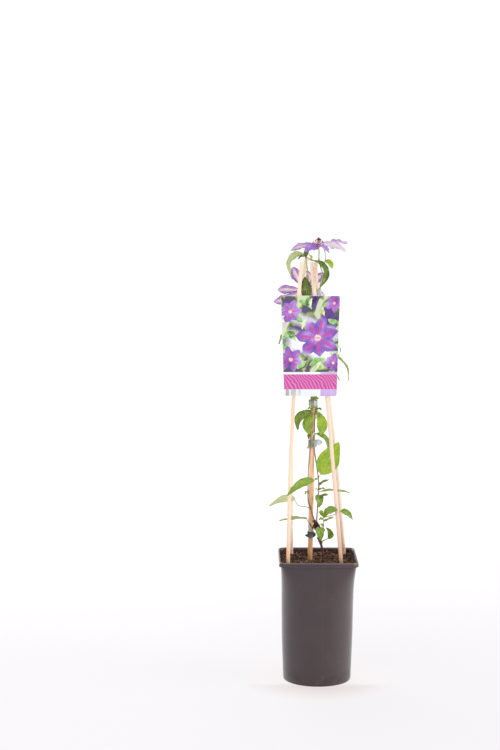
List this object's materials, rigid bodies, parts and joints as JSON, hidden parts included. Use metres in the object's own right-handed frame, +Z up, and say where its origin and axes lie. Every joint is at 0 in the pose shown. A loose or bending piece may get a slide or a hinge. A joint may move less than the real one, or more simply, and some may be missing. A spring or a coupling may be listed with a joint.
{
  "type": "potted clematis plant",
  "caption": "Young flowering climber in a square-topped nursery pot, tied to a cane and a pyramid of slim sticks, with a picture label clipped across its front.",
  "frame": {"origin": "centre of the pot's underside, on the surface it stands on", "axes": "+Z up along the cane, X and Y square to the pot's sides, the label faces -Y"},
  "size_m": [0.1513, 0.1348, 0.7592],
  "materials": {
    "pot": "dark grey-brown moulded plastic, matt",
    "soil": "rough bark and coir compost",
    "stick": "pale split bamboo",
    "cane": "dry bamboo cane with raised joints",
    "tape": "soft grey-green tying tape",
    "label": "printed plastic card",
    "vine": "green leaves on brown-red stems",
    "sepal": "soft violet sepals with a carmine bar",
    "stamen": "dark red stamens with pale filaments"
  },
  "bodies": {
    "root": {"pot": "pot", "soil": "soil", "stick_front_left": "stick", "stick_front_right": "stick", "stick_back_left": "stick", "stick_back_right": "stick", "cane": "cane", "tie_lower": "tape", "tie_middle": "tape", "tie_upper": "tape", "tie_top": "tape", "label": "label", "vine_right": "vine", "vine_left": "vine", "top_bloom_sepals": "sepal", "top_bloom_stamens": "stamen", "side_bloom_sepals": "sepal", "side_bloom_stamens": "stamen"}
  },
  "joints": []
}
